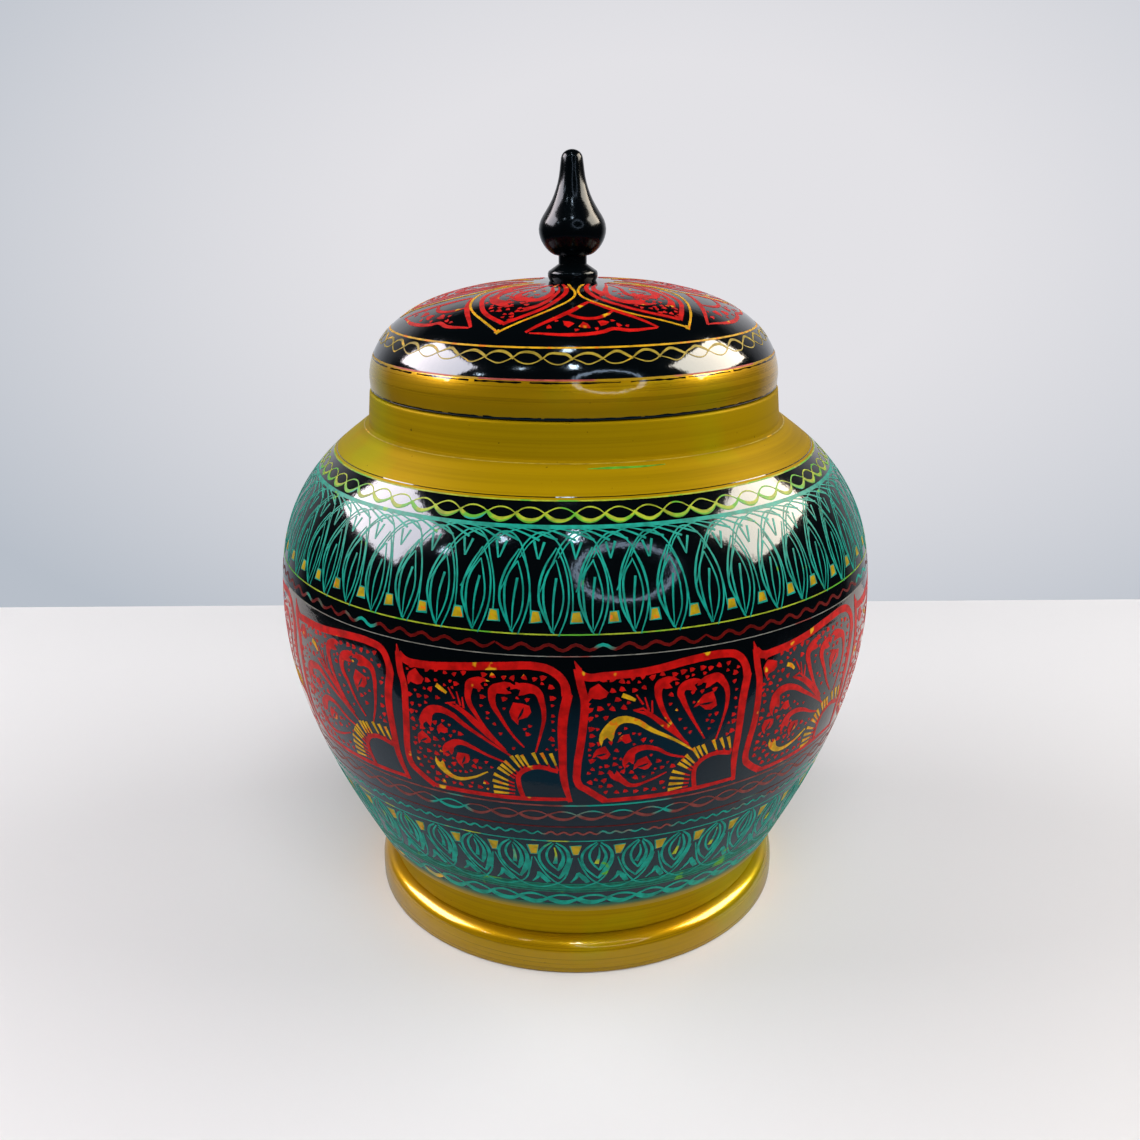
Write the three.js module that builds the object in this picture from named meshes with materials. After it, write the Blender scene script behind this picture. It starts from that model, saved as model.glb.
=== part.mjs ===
// A turned and lacquered wooden jar with a domed lid and a knob, in millimetres, +Z up.
// It stands at the origin on the flat ring of its foot, and every piece is turned about Z.
// Each piece is drawn as half a section, radius across and height up, and spun round.
import * as THREE from "three";

// Heights of the jar above the table, and of each upper piece above the one that carries it
const footHeight = 9.5;
const bellyHeight = 86.9;
const jointAboveBelly = 11.8;
const shoulderHeight = 135.4;
const collarHeight = 8.6;
const lidHeight = 26.4;

// Radii of the jar
const footRadius = 58.6;
const bellyRadius = 80.2;
const mouthRadius = 44;

// Foot: the ledge that it shows round the bowl, its rounded edge and its rim underneath
const footLedge = 4;
const footSideHeight = 4.2;
const footRound = 4.6;
const footRimWidth = 11.6;
const footTenonInset = 12.6;
const footTenonLength = 5;

// Bowl and shoulder: their wall, the floor inside and the lap that joins them
const wall = 7;
const floorThickness = 8.5;
const floorCornerRise = 14;
const floorCornerReach = 21;
const lapDepth = 4;

// Neck ring: its wall, how it flares down to the shoulder, and its tenon
const collarWall = 9.9;
const collarFlare = 0.7;
const shoulderStep = 0.5;
const collarTenonWall = 4;
const collarTenonLength = 3.2;
const collarShelf = 1.75;

// Lid: its set-back from the neck ring, its wall, its crown and the spigot in the mouth
const lidSetback = 0.4;
const lidWall = 7;
const lidCrownThickness = 9.5;
const spigotDepth = 7;
const spigotWall = 5;
const landingMargin = 0.9;

// Knob: radii, and heights above the lid's crown
const knobTenonRadius = 3;
const knobTenonLength = 7;
const knobFootRadius = 6;
const knobFlangeRadius = 6.5;
const knobFlangeHeight = 2;
const knobNeckRadius = 3.65;
const knobNeckHeight = 4.2;
const knobNeckLength = 2;
const knobBulbRadius = 8.65;
const knobBulbHeight = 12.8;
const knobTipRadius = 2.75;
const knobTipHeight = 30;
const knobHeight = 32;

// Small rounded edges
const edgeRound = 0.8;

// Clearances
const glueGap = 0.3;
const spigotGap = 0.5;
const boreBottomGap = 0.5;

// Fullness of the outline's curves: each handle's share of the curve's own rise or run
const waistFullness = 0.07;
const bellyFullnessDown = 0.443;
const bellyFullnessUp = 0.318;
const shoulderFullnessDown = 0.316;
const shoulderFullnessOut = 0.952;
const lidSideFullness = 0.307;
const lidSideFlare = 1.5;
const lidCrownFullness = 0.906;
const bulbFullnessUnder = 0.55;
const bulbFullnessIn = 0.4;
const bulbFullnessOver = 0.245;
const tipFullnessDown = 0.7;
const tipFullnessOut = 0.145;
const tipFullnessUp = 0.6;

// Facets: round the axis, and along the curves of a section
const facets = 56;
const knobFacets = 28;
const bowlSteps = 14;
const shoulderSteps = 10;
const lidSteps = 10;
const knobSteps = 5;
const edgeSteps = 4;

// Sizes that follow from those above
const rimHeight = shoulderHeight + collarHeight;
const crownHeight = rimHeight + lidHeight;
const jointHeight = bellyHeight + jointAboveBelly;
const floorHeight = footHeight + floorThickness;
const waistRadius = footRadius - footLedge;
const footTenonRadius = waistRadius - footTenonInset;
const collarTopRadius = mouthRadius + collarWall;
const collarBaseRadius = collarTopRadius + collarFlare;
const collarTenonRadius = mouthRadius + collarTenonWall;
const shoulderRadius = collarBaseRadius + shoulderStep;
const lidRadius = collarTopRadius - lidSetback;
const spigotRadius = mouthRadius - spigotGap;
const hollowRadius = spigotRadius - spigotWall;
const landingRadius = knobFootRadius + landingMargin;

const blackLacquer = new THREE.MeshStandardMaterial({
  color: 0x0a0c10,
  roughness: 0.12,
  metalness: 0,
});
const goldLacquer = new THREE.MeshStandardMaterial({
  color: 0xb8860b,
  roughness: 0.35,
  metalness: 0.25,
});

function point(radius, height) {
  return new THREE.Vector2(radius, height);
}

function curve(start, startHandle, endHandle, end) {
  return new THREE.CubicBezierCurve(start, startHandle, endHandle, end);
}

// The jar's outside from the top of the foot to the neck ring, as one rising line
function bodyFlank() {
  const waist = point(waistRadius, footHeight);
  const belly = point(bellyRadius, bellyHeight);
  const shoulder = point(shoulderRadius, shoulderHeight);
  const bowlRise = bellyHeight - footHeight;
  const shoulderRise = shoulderHeight - bellyHeight;
  const shoulderRun = bellyRadius - shoulderRadius;
  const line = new THREE.CurvePath();
  line.add(
    curve(
      waist,
      point(waistRadius, footHeight + waistFullness * bowlRise),
      point(bellyRadius, bellyHeight - bellyFullnessDown * bowlRise),
      belly,
    ),
  );
  line.add(
    curve(
      belly,
      point(bellyRadius, bellyHeight + bellyFullnessUp * shoulderRise),
      point(
        shoulderRadius + shoulderFullnessOut * shoulderRun,
        shoulderHeight - shoulderFullnessDown * shoulderRise,
      ),
      shoulder,
    ),
  );
  return line;
}

// A point that lies a depth inside a rising line, square to it
function insidePoint(line, t, depth) {
  const outside = line.getPoint(t);
  const tangent = line.getTangent(t);
  return point(outside.x - depth * tangent.y, outside.y + depth * tangent.x);
}

// Where along a rising line its inside, a depth in, passes a height, found by halving
function parameterAt(line, depth, height) {
  const nearEnough = 1e-9;
  let low = 0;
  let high = 1;
  while (high - low > nearEnough) {
    const middle = (low + high) / 2;
    if (insidePoint(line, middle, depth).y < height) {
      low = middle;
    } else {
      high = middle;
    }
  }
  return low;
}

// Points a depth inside a rising line, evenly spaced from one height to another
function stretch(line, depth, fromHeight, toHeight, steps) {
  const from = parameterAt(line, depth, fromHeight);
  const to = parameterAt(line, depth, toHeight);
  const points = [];
  for (let i = 0; i <= steps; i++) {
    points.push(insidePoint(line, THREE.MathUtils.lerp(from, to, i / steps), depth));
  }
  return points;
}

function lineThrough(section, points) {
  for (const p of points) {
    section.lineTo(p.x, p.y);
  }
}

// A section spun round Z into a closed solid
function turned(name, section, finish, steps = edgeSteps, facetsRound = facets) {
  const geometry = new THREE.LatheGeometry(section.getPoints(steps), facetsRound);
  geometry.rotateX(Math.PI / 2);
  const piece = new THREE.Mesh(geometry, finish);
  piece.name = name;
  return piece;
}

const flank = bodyFlank();
const lapRadius = insidePoint(flank, parameterAt(flank, 0, jointHeight), wall / 2).x;

// A plinth with a rounded shoulder, bored for the bowl's tenon and hollowed underneath
function footRing() {
  const rimRadius = footRadius - footRimWidth;
  const boreRadius = footTenonRadius + glueGap;
  const boreFloor = footHeight - footTenonLength - glueGap;
  const section = new THREE.Path();
  section.moveTo(rimRadius, 0);
  section.lineTo(footRadius - edgeRound, 0);
  section.quadraticCurveTo(footRadius, 0, footRadius, edgeRound);
  section.lineTo(footRadius, footSideHeight);
  section.quadraticCurveTo(
    footRadius,
    footHeight - glueGap,
    footRadius - footRound,
    footHeight - glueGap,
  );
  section.lineTo(boreRadius, footHeight - glueGap);
  section.lineTo(boreRadius, boreFloor);
  section.lineTo(rimRadius, boreFloor);
  section.closePath();
  return turned("foot_ring", section, goldLacquer);
}

// The bowl stands in the foot on a tenon, and its rim has a tongue inside the joint
function lowerBody() {
  const tongueRadius = lapRadius - glueGap / 2;
  const tongueTop = jointHeight + lapDepth - glueGap;
  const inside = stretch(flank, wall, floorHeight + floorCornerRise, tongueTop, shoulderSteps);
  const corner = inside[0];
  const section = new THREE.Path();
  section.moveTo(0, footHeight - footTenonLength);
  section.lineTo(footTenonRadius, footHeight - footTenonLength);
  section.lineTo(footTenonRadius, footHeight);
  lineThrough(section, stretch(flank, 0, footHeight, jointHeight, bowlSteps));
  section.lineTo(tongueRadius, jointHeight);
  section.lineTo(tongueRadius, tongueTop);
  lineThrough(section, inside.reverse());
  section.quadraticCurveTo(
    corner.x - floorCornerRise / 2,
    floorHeight,
    corner.x - floorCornerReach,
    floorHeight,
  );
  section.lineTo(0, floorHeight);
  return turned("lower_body", section, blackLacquer);
}

// The shoulder caps the bowl over its tongue and is open at the top for the neck ring
function upperBody() {
  const openingRadius = collarTenonRadius + glueGap;
  const grooveRadius = lapRadius + glueGap / 2;
  const grooveTop = jointHeight + lapDepth;
  const shelfHeight = shoulderHeight - collarTenonLength - glueGap - collarShelf;
  const inside = stretch(flank, wall, grooveTop, shelfHeight, shoulderSteps);
  const section = new THREE.Path();
  section.moveTo(grooveRadius, jointHeight);
  lineThrough(section, stretch(flank, 0, jointHeight, shoulderHeight, shoulderSteps));
  section.lineTo(openingRadius, shoulderHeight);
  section.lineTo(openingRadius, shelfHeight);
  lineThrough(section, inside.reverse());
  section.lineTo(grooveRadius, grooveTop);
  section.closePath();
  return turned("upper_body", section, blackLacquer);
}

// The neck ring, with a tenon below and the rim that the lid rests on above
function neckCollar() {
  const tenonEnd = shoulderHeight - collarTenonLength;
  const section = new THREE.Path();
  section.moveTo(mouthRadius, tenonEnd);
  section.lineTo(collarTenonRadius, tenonEnd);
  section.lineTo(collarTenonRadius, shoulderHeight);
  section.lineTo(collarBaseRadius, shoulderHeight);
  section.lineTo(collarTopRadius, rimHeight - edgeRound);
  section.quadraticCurveTo(
    collarTopRadius,
    rimHeight,
    collarTopRadius - edgeRound,
    rimHeight,
  );
  section.lineTo(mouthRadius + edgeRound, rimHeight);
  section.quadraticCurveTo(mouthRadius, rimHeight, mouthRadius, rimHeight - edgeRound);
  section.closePath();
  return turned("neck_collar", section, goldLacquer);
}

// The domed lid: a spigot that drops in the mouth, a hollow below and a bore for the knob
function lidCap() {
  const boreRadius = knobTenonRadius + glueGap;
  const boreFloor = crownHeight - knobTenonLength - boreBottomGap;
  const hollowHeight = crownHeight - lidCrownThickness;
  const spigotEnd = rimHeight - spigotDepth;
  const domeFoot = rimHeight + edgeRound;
  const domeRise = crownHeight - domeFoot;
  const domeRun = lidRadius - landingRadius;
  const dome = curve(
    point(lidRadius, domeFoot),
    point(lidRadius + lidSideFlare, domeFoot + lidSideFullness * domeRise),
    point(landingRadius + lidCrownFullness * domeRun, crownHeight),
    point(landingRadius, crownHeight),
  );
  const section = new THREE.Path();
  section.moveTo(0, hollowHeight);
  section.lineTo(landingRadius, hollowHeight);
  section.bezierCurveTo(
    hollowRadius - lidWall,
    hollowHeight,
    hollowRadius,
    hollowHeight - lidWall / 2,
    hollowRadius,
    domeFoot,
  );
  section.lineTo(hollowRadius, spigotEnd);
  section.lineTo(spigotRadius - edgeRound, spigotEnd);
  section.lineTo(spigotRadius, spigotEnd + edgeRound);
  section.lineTo(spigotRadius, rimHeight);
  section.lineTo(lidRadius - edgeRound, rimHeight);
  section.quadraticCurveTo(lidRadius, rimHeight, lidRadius, domeFoot);
  lineThrough(section, dome.getPoints(lidSteps));
  section.lineTo(boreRadius, crownHeight);
  section.lineTo(boreRadius, boreFloor);
  section.lineTo(0, boreFloor);
  return turned("lid_cap", section, blackLacquer);
}

// The knob, from its glued tenon up: flange, neck, bulb and a drawn-out tip
function knob() {
  const neckFoot = crownHeight + knobNeckHeight;
  const neckTop = neckFoot + knobNeckLength;
  const bulb = crownHeight + knobBulbHeight;
  const tip = crownHeight + knobTipHeight;
  const top = crownHeight + knobHeight;
  const underBulb = bulb - neckTop;
  const overBulb = tip - bulb;
  const section = new THREE.Path();
  section.moveTo(0, crownHeight - knobTenonLength);
  section.lineTo(knobTenonRadius, crownHeight - knobTenonLength);
  section.lineTo(knobTenonRadius, crownHeight);
  section.lineTo(knobFootRadius, crownHeight);
  section.bezierCurveTo(
    knobFlangeRadius,
    crownHeight + edgeRound,
    knobFlangeRadius + edgeRound / 2,
    crownHeight + knobFlangeHeight + edgeRound / 2,
    knobFlangeRadius - edgeRound,
    crownHeight + knobFlangeHeight + edgeRound,
  );
  section.lineTo(knobNeckRadius, neckFoot);
  section.lineTo(knobNeckRadius, neckTop);
  section.bezierCurveTo(
    knobNeckRadius + bulbFullnessIn * (knobBulbRadius - knobNeckRadius),
    neckTop,
    knobBulbRadius,
    bulb - bulbFullnessUnder * underBulb,
    knobBulbRadius,
    bulb,
  );
  section.bezierCurveTo(
    knobBulbRadius,
    bulb + bulbFullnessOver * overBulb,
    knobTipRadius + tipFullnessOut * (knobBulbRadius - knobTipRadius),
    tip - tipFullnessDown * overBulb,
    knobTipRadius,
    tip,
  );
  section.bezierCurveTo(
    knobTipRadius - edgeRound / 4,
    tip + tipFullnessUp * (top - tip),
    knobTipRadius / 2,
    top,
    0,
    top,
  );
  return turned("knob", section, blackLacquer, knobSteps, knobFacets);
}

const jar = new THREE.Group();
jar.add(footRing(), lowerBody(), upperBody(), neckCollar(), lidCap(), knob());

export default jar;
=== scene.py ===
"""A turned wooden jar with a domed lid, coated in coloured lacquers and etched by hand.

The wood is spun from the sections of the fixed frame. The ornament is drawn flat, in millimetres
round and up the jar, and is then wrapped on the lacquer as fine flat strokes.
"""

import math
import random
from functools import partial

import bmesh
import bpy
from mathutils import Matrix, Vector


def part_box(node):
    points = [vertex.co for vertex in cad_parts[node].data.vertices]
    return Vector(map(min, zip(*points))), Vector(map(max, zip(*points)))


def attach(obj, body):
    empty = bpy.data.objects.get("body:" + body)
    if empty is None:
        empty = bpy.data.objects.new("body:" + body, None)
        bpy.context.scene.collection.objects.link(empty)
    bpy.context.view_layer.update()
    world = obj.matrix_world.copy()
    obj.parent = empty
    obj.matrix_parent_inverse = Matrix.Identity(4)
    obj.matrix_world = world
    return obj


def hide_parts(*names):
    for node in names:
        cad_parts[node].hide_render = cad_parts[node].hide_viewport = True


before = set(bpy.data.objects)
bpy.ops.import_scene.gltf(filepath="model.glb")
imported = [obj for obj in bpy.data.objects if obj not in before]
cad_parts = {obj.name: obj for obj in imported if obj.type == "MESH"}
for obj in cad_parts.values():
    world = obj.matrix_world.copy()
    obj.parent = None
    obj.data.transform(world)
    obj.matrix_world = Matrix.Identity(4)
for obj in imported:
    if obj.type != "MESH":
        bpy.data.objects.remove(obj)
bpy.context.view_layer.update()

bl_info = {
    "name": "Lacquered Lidded Jar",
    "version": (1, 0, 0),
    "blender": (4, 5, 0),
    "location": "View3D > Sidebar > Lacquered Jar",
    "description": "Builds a turned, lacquered and hand-etched jar with a lid that lifts off",
    "category": "Add Mesh",
}

MM = 0.001

# How fine the turned surfaces are, and how close two points have to be to be one
TURN_STEPS = 192
CHORD = 1.6 * MM
CORNER = math.radians(40)
WELD = 0.002 * MM
# A leg of a section that is this many times longer than the next one is straight up to its end
STRAIGHT = 2.5

# How far a stroke stands above the lacquer round it, and how many levels keep crossings apart
RELIEF = 0.04 * MM
LEVELS = 6
# Half the thickness of a chip that is still flat, and of a flat stroke in half widths
CHIP_HALF = 0.1 * MM
STROKE_HALF = 0.05

# The top of the neck ring, where the lid sits
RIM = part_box("neck_collar")[1][2]

# The camera of the photograph, with the jar's axis upright at the origin
CAMERA_PLACE = (0, -300 * MM, 194.4 * MM)
CAMERA_TILT = math.radians(19.053)
CAMERA_TURN = math.radians(0.267)
CAMERA_ROLL = math.radians(-0.504)
CAMERA_LENS = 35.42
CAMERA_FILM = 36


def linear(hex_colour):
    """An sRGB hex colour as the linear red, green, blue and alpha that a shader reads."""
    shares = [int(hex_colour[i : i + 2], 16) / 255 for i in (1, 3, 5)]
    return tuple(
        s / 12.92 if s <= 0.04045 else ((s + 0.055) / 1.055) ** 2.4 for s in shares
    ) + (1,)


def darker(colour, share):
    """A colour with only a share of its light."""
    return tuple(share * c for c in colour[:3]) + (1,)


def add_node(tree, kind, *first, **named):
    """Adds a shader node and gives its first output.

    first holds what goes to its first inputs: values, or outputs to link. Of the named ones, those
    with a capital are inputs too, with _ for a space, and the others are the node's settings.
    """
    node = tree.nodes.new("ShaderNode" + kind)
    for name in [name for name in named if name.islower()]:
        setattr(node, name, named.pop(name))
    wanted = list(zip([socket for socket in node.inputs if socket.enabled], first))
    wanted += [(node.inputs[name.replace("_", " ")], named[name]) for name in named]
    for socket, value in wanted:
        if isinstance(value, bpy.types.NodeSocket):
            tree.links.new(value, socket)
        else:
            socket.default_value = value
    return next((output for output in node.outputs if output.enabled), None)


def new_material(name, paint, *terms):
    """A material with the surface that paint adds, from the place on the piece and the colours."""
    material = bpy.data.materials.new(name)
    material.use_nodes = True
    material.node_tree.nodes.clear()
    add = partial(add_node, material.node_tree)
    place = add("TexCoord").node.outputs["Object"]
    add("OutputMaterial", paint(add, place, bpy.context.scene.jar_colours, *terms))
    return material


# The scales of all the textures are counted in cells to the metre: 1000 makes grains of 1 mm.


# Shellac lacquer melted on by the heat of the lathe: opaque and very glossy. A slight orange
# peel, 1.3 mm across, and the rings of the polishing rag break up the edges of reflections
def black_lacquer(add, place, colours, level, rough):
    peel = add("TexNoise", place, Scale=770, Detail=2)
    turned = add("Mapping", place, Scale=(15, 15, 800))
    rings = add("TexNoise", turned, Scale=1, Detail=3)
    swell = add("TexNoise", place, Scale=75, Detail=1)
    low = add("Bump", Height=swell, Distance=0.08 * MM)
    grooved = add("Bump", Height=rings, Distance=0.006 * MM, Normal=low)
    return add(
        "BsdfPrincipled",
        Base_Color=colours.black,
        Roughness=add("MapRange", rings, To_Min=rough, To_Max=rough + 0.06),
        IOR=1.45,
        Specular_IOR_Level=level,
        Specular_Tint=linear("#DCEEFF"),
        Normal=add("Bump", Height=peel, Distance=0.02 * MM, Normal=grooved),
    )


# Yellow lacquer over tin powder, rubbed in on the lathe: a soft metal sheen with rings 1 mm
# apart under a clear gloss coat, greener where the coat is thin, and a few dark specks. Where
# there is no gloss coat it is the duller gold of the body and the neck
def gold_lacquer(add, place, colours, metal, rough, coat):
    base = colours.gold if coat else colours.neck_gold
    turned = add("Mapping", place, Scale=(6, 6, 1000))
    rings = add("TexNoise", turned, Scale=1, Detail=4, Roughness=0.6)
    share = add("MapRange", rings, From_Min=0.28, From_Max=0.56)
    ringed = add("Mix", share, darker(base, 0.76), base, data_type="RGBA")
    cloud = add("TexNoise", place, Scale=28, Detail=3)
    thin = add("MapRange", cloud, From_Min=0.54, From_Max=0.72, To_Max=0.5)
    greened = add("Mix", thin, ringed, linear("#8E9A08"), data_type="RGBA")
    dust = add("TexNoise", place, Scale=900, Detail=2)
    speck = add("MapRange", dust, From_Min=0.75, From_Max=0.78)
    bump = add("Bump", Height=rings, Distance=0.012 * MM)
    return add(
        "BsdfPrincipled",
        Base_Color=add("Mix", speck, greened, linear("#4A3A08"), data_type="RGBA"),
        Metallic=metal,
        Roughness=add("MapRange", rings, To_Min=rough, To_Max=rough + 0.12),
        IOR=1.32,
        Specular_IOR_Level=0.5 if coat else 0.05,
        Specular_Tint=linear("#F0D060"),
        Coat_Weight=coat,
        Coat_Roughness=0.06,
        Coat_Normal=add("Bump", Height=dust, Distance=0.022 * MM, Normal=bump),
        Normal=bump,
    )


# A lower coat of lacquer that the stylus has laid bare: in two colours where the rag rubbed a
# second one in, patch by patch, a little uneven, and duller than the polished black round it
def etched_lacquer(add, place, colours, near, deep, patch, start):
    near, deep = getattr(colours, near), getattr(colours, deep)
    cloud = add("TexNoise", place, Scale=420, Detail=3)
    uneven = add("MapRange", cloud, From_Min=0.34, From_Max=0.6)
    first = add("Mix", uneven, darker(near, 0.58), near, data_type="RGBA")
    blotch = add("TexNoise", place, Scale=1 / patch, Detail=2)
    rubbed = add("MapRange", blotch, From_Min=start, From_Max=start + 0.04)
    return add(
        "BsdfPrincipled",
        Base_Color=add("Mix", rubbed, first, deep, data_type="RGBA"),
        Roughness=add("MapRange", cloud, To_Min=0.34, To_Max=0.5),
        IOR=1.4,
        Specular_IOR_Level=0.16,
        Normal=add("Bump", Height=cloud, Distance=0.02 * MM),
    )


# Where the rag dragged the bowl's teal down over the gold: one fades into the other over 4 mm,
# in streaks as the lathe turned
def smeared_edge(add, place, colours):
    edge = bpy.context.scene.jar_sizes.foot_gold_edge
    turned = add("Mapping", place, Scale=(30, 30, 1100))
    streaks = add("TexNoise", turned, Scale=1, Detail=3)
    height = add("SeparateXYZ", place).node.outputs["Z"]
    moved = add("Math", streaks, 1.6 * MM, height, operation="MULTIPLY_ADD")
    low, high = edge - 0.9 * MM, edge + 2.4 * MM
    share = add("MapRange", moved, From_Min=low, From_Max=high, interpolation_type="SMOOTHSTEP")
    teal = darker(colours.deep_teal, 0.5)
    colour = add("Mix", share, colours.neck_gold, teal, data_type="RGBA")
    return add("BsdfPrincipled", Base_Color=colour, Roughness=0.4, IOR=1.35)


# Bare close-grained hardwood, as the tool leaves it inside and under the jar: straight grain
# 4 mm wide, rough to the light, with the faint ridges of the turning tool
def bare_wood(add, place, colours):
    along = add("Mapping", place, Scale=(240, 240, 22))
    grain = add("TexNoise", along, Scale=1, Detail=5, Distortion=0.4)
    share = add("MapRange", grain, From_Min=0.3, From_Max=0.7)
    colour = add("Mix", share, darker(colours.wood, 0.5), colours.wood, data_type="RGBA")
    ridges = add("Mapping", place, Scale=(5, 5, 700))
    tooled = add("TexNoise", ridges, Scale=1, Detail=1)
    cut = add("Bump", Height=tooled, Distance=0.08 * MM)
    bump = add("Bump", Height=grain, Distance=0.03 * MM, Normal=cut)
    return add("BsdfPrincipled", Base_Color=colour, Roughness=0.62, Normal=bump)


# Painted board: plain, pale and matt. Seen in the gloss of the jar it has a painted colour of
# its own: white behind and beside the jar, and a bluer grey in front, as painted shade where
# the photographer's shade would fall on it
def painted_board(add, place, colours):
    depth = add("SeparateXYZ", place).node.outputs["Y"]
    lit = add("MapRange", depth, From_Min=-0.03, From_Max=0.07)
    painted_shade_in_gloss = add("Mix", lit, linear("#94A8B8"), linear("#F4EAE6"), data_type="RGBA")
    ray = add("LightPath").node.outputs["Is Glossy Ray"]
    tone = add("Mix", ray, colours.table, painted_shade_in_gloss, data_type="RGBA")
    return add("BsdfPrincipled", Base_Color=tone, Roughness=0.6)


# Frosted plastic over a ring of small white lamps: an even glow
def frosted_plastic(add, place, colours):
    return add("Emission", linear("#EAF2FF"), Strength=8)


# Each finish: its material's name, the record's slot, what paints it, and with what
FINISHES = {
    "black": ("black_lac_lathe_polished", "black_lacquer", black_lacquer, 0.5, 0.05),
    # The same black on the knob, where fingers have dulled it
    "worn_black": ("black_lac_dulled_by_fingers", "black_lacquer", black_lacquer, 0.2, 0.12),
    "gold": ("gold_lac_lathe_polished", "gold_lacquer", gold_lacquer, 0.4, 0.22, 0.7),
    # The same gold on the body and the neck, left dull from the brush, with no gloss coat
    "brushed_gold": ("gold_lac_lathe_brushed", "gold_lacquer", gold_lacquer, 0.1, 0.42, 0),
    "wood": ("bare_turned_hardwood", "bare_wood", bare_wood),
    "smeared": ("teal_lac_smeared_on_gold", "gold_lacquer", smeared_edge),
}
# The etched coats: name, slot, the two colours, the size of the patches in metres, and where in
# the noise the second colour starts (0.5 is half of the stroke, 0.7 next to none)
ETCHED = {
    "teal": ("teal_lac_etched", "green_lacquer", "teal", "green", 5 * MM, 0.7),
    "teal_streaked": ("teal_lac_streaked", "green_lacquer", "deep_teal", "green", 7 * MM, 0.62),
    "teal_foot": ("teal_lac_foot", "green_lacquer", "teal", "yellow", 16 * MM, 0.64),
    "teal_lime": ("teal_and_lime_lac_etched", "green_lacquer", "teal", "lime", 12 * MM, 0.54),
    "teal_brown": ("teal_and_brown_lac_etched", "green_lacquer", "teal", "brown", 22 * MM, 0.53),
    "red": ("red_lac_etched", "red_lacquer", "red", "yellow", 4 * MM, 0.68),
    "zigzag_red": ("red_and_teal_lac_etched", "red_lacquer", "dark_red", "teal", 20 * MM, 0.6),
    "brown": ("brown_and_teal_lac_etched", "red_lacquer", "brown", "teal", 24 * MM, 0.55),
    "rose": ("rose_lac_line", "red_lacquer", "rose", "gold", 14 * MM, 0.5),
    "yellow": ("yellow_lac_etched", "yellow_lacquer", "yellow", "orange", 2 * MM, 0.58),
    "dot": ("dot_lac_etched", "yellow_lacquer", "dot", "orange", 2 * MM, 0.64),
    "lime": ("lime_lac_etched", "yellow_lacquer", "lime", "green", 9 * MM, 0.53),
    "green": ("green_lac_etched", "green_lacquer", "green", "teal", 9 * MM, 0.6),
    # The olive cuts the lid's chain, and also paints the highlight on the neck's step
    "olive": ("olive_lac_etched", "yellow_lacquer", "olive", "yellow", 6 * MM, 0.66),
    "pale": ("pale_ground_scribed", "yellow_lacquer", "pale", "brown", 12 * MM, 0.62),
}
for finish, (title, slot, *terms) in ETCHED.items():
    FINISHES[finish] = (title, slot, etched_lacquer, *terms)


def finish_named(name):
    """The material of a finish, made the first time that a piece asks for it."""
    title, _, paint, *terms = FINISHES[name]
    return bpy.data.materials.get(title) or new_material(title, paint, *terms)


def new_object(name, data):
    """A new object in the scene."""
    thing = bpy.data.objects.new(name, data)
    bpy.context.scene.collection.objects.link(thing)
    return thing


def mesh_of(name, shape):
    """A mesh from a bmesh, which is let go."""
    mesh = bpy.data.meshes.new(name)
    shape.to_mesh(mesh)
    shape.free()
    return mesh


def section_of(node):
    """A turned piece's half section: its (radius, height) points, and whether it is closed."""
    shape = bmesh.new()
    shape.from_mesh(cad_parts[node].data)
    bmesh.ops.remove_doubles(shape, verts=shape.verts, dist=WELD)
    front = {v for v in shape.verts if abs(v.co.x) < WELD and v.co.y < WELD}
    beside = {v: [] for v in front}
    for edge in shape.edges:
        a, b = edge.verts
        if a in front and b in front:
            beside[a].append(b)
            beside[b].append(a)
    ends = [v for v in front if len(beside[v]) == 1]
    start = min(ends or front, key=lambda v: (v.co.z, -v.co.y))
    walk = [start]
    while True:
        onward = [v for v in beside[walk[-1]] if v not in walk[-2:] and v is not start]
        if not onward:
            break
        walk.append(onward[0])
    points = [(-v.co.y, v.co.z) for v in walk]
    shape.free()
    return points, not ends


def direction(a, b):
    """The unit step from one section point to the next, and its length."""
    step = Vector(b) - Vector(a)
    return step.normalized(), step.length


def tangent(before, after):
    """The way that a curve takes where two legs of it meet, or nothing at a sharp corner."""
    (step_in, long_in), (step_out, long_out) = before, after
    if step_in.angle(step_out) > CORNER:
        return None
    if long_in > STRAIGHT * long_out:
        return step_in
    if long_out > STRAIGHT * long_in:
        return step_out
    return (step_in * long_out + step_out * long_in).normalized()


def fine_section(node):
    """The section with its curves filled in, as runs that end at its sharp corners."""
    points, closed = section_of(node)
    if closed:
        points.append(points[0])
    legs = [direction(a, b) for a, b in zip(points, points[1:])]
    last = len(legs)
    tangents = [tangent(legs[i - 1], legs[i % last]) for i in range(last + 1)]
    if not closed:
        tangents[0] = tangents[last] = None
    runs = []
    run = [Vector(points[0])]
    for i, (step, length) in enumerate(legs):
        start, end = Vector(points[i]), Vector(points[i + 1])
        leave = (tangents[i] or step) * length
        arrive = (tangents[i + 1] or step) * length
        pieces = max(1, math.ceil(length / CHORD))
        for k in range(1, pieces + 1):
            t = k / pieces
            run.append(
                start * (2 * t**3 - 3 * t**2 + 1)
                + leave * (t**3 - 2 * t**2 + t)
                + end * (3 * t**2 - 2 * t**3)
                + arrive * (t**3 - t**2)
            )
        if tangents[i + 1] is None or i == last - 1:
            runs.append(run)
            run = [Vector(points[i + 1])]
    return runs


def length_of(run):
    """The length of a run of points."""
    return sum((b - a).length for a, b in zip(run, run[1:]))


def outermost(runs):
    """The outside of a piece: the longest of the runs that reach its widest radius."""
    widest = max(p.x for run in runs for p in run)
    reaching = [run for run in runs if max(p.x for p in run) > widest - 0.5 * MM]
    return max(reaching, key=length_of)


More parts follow.
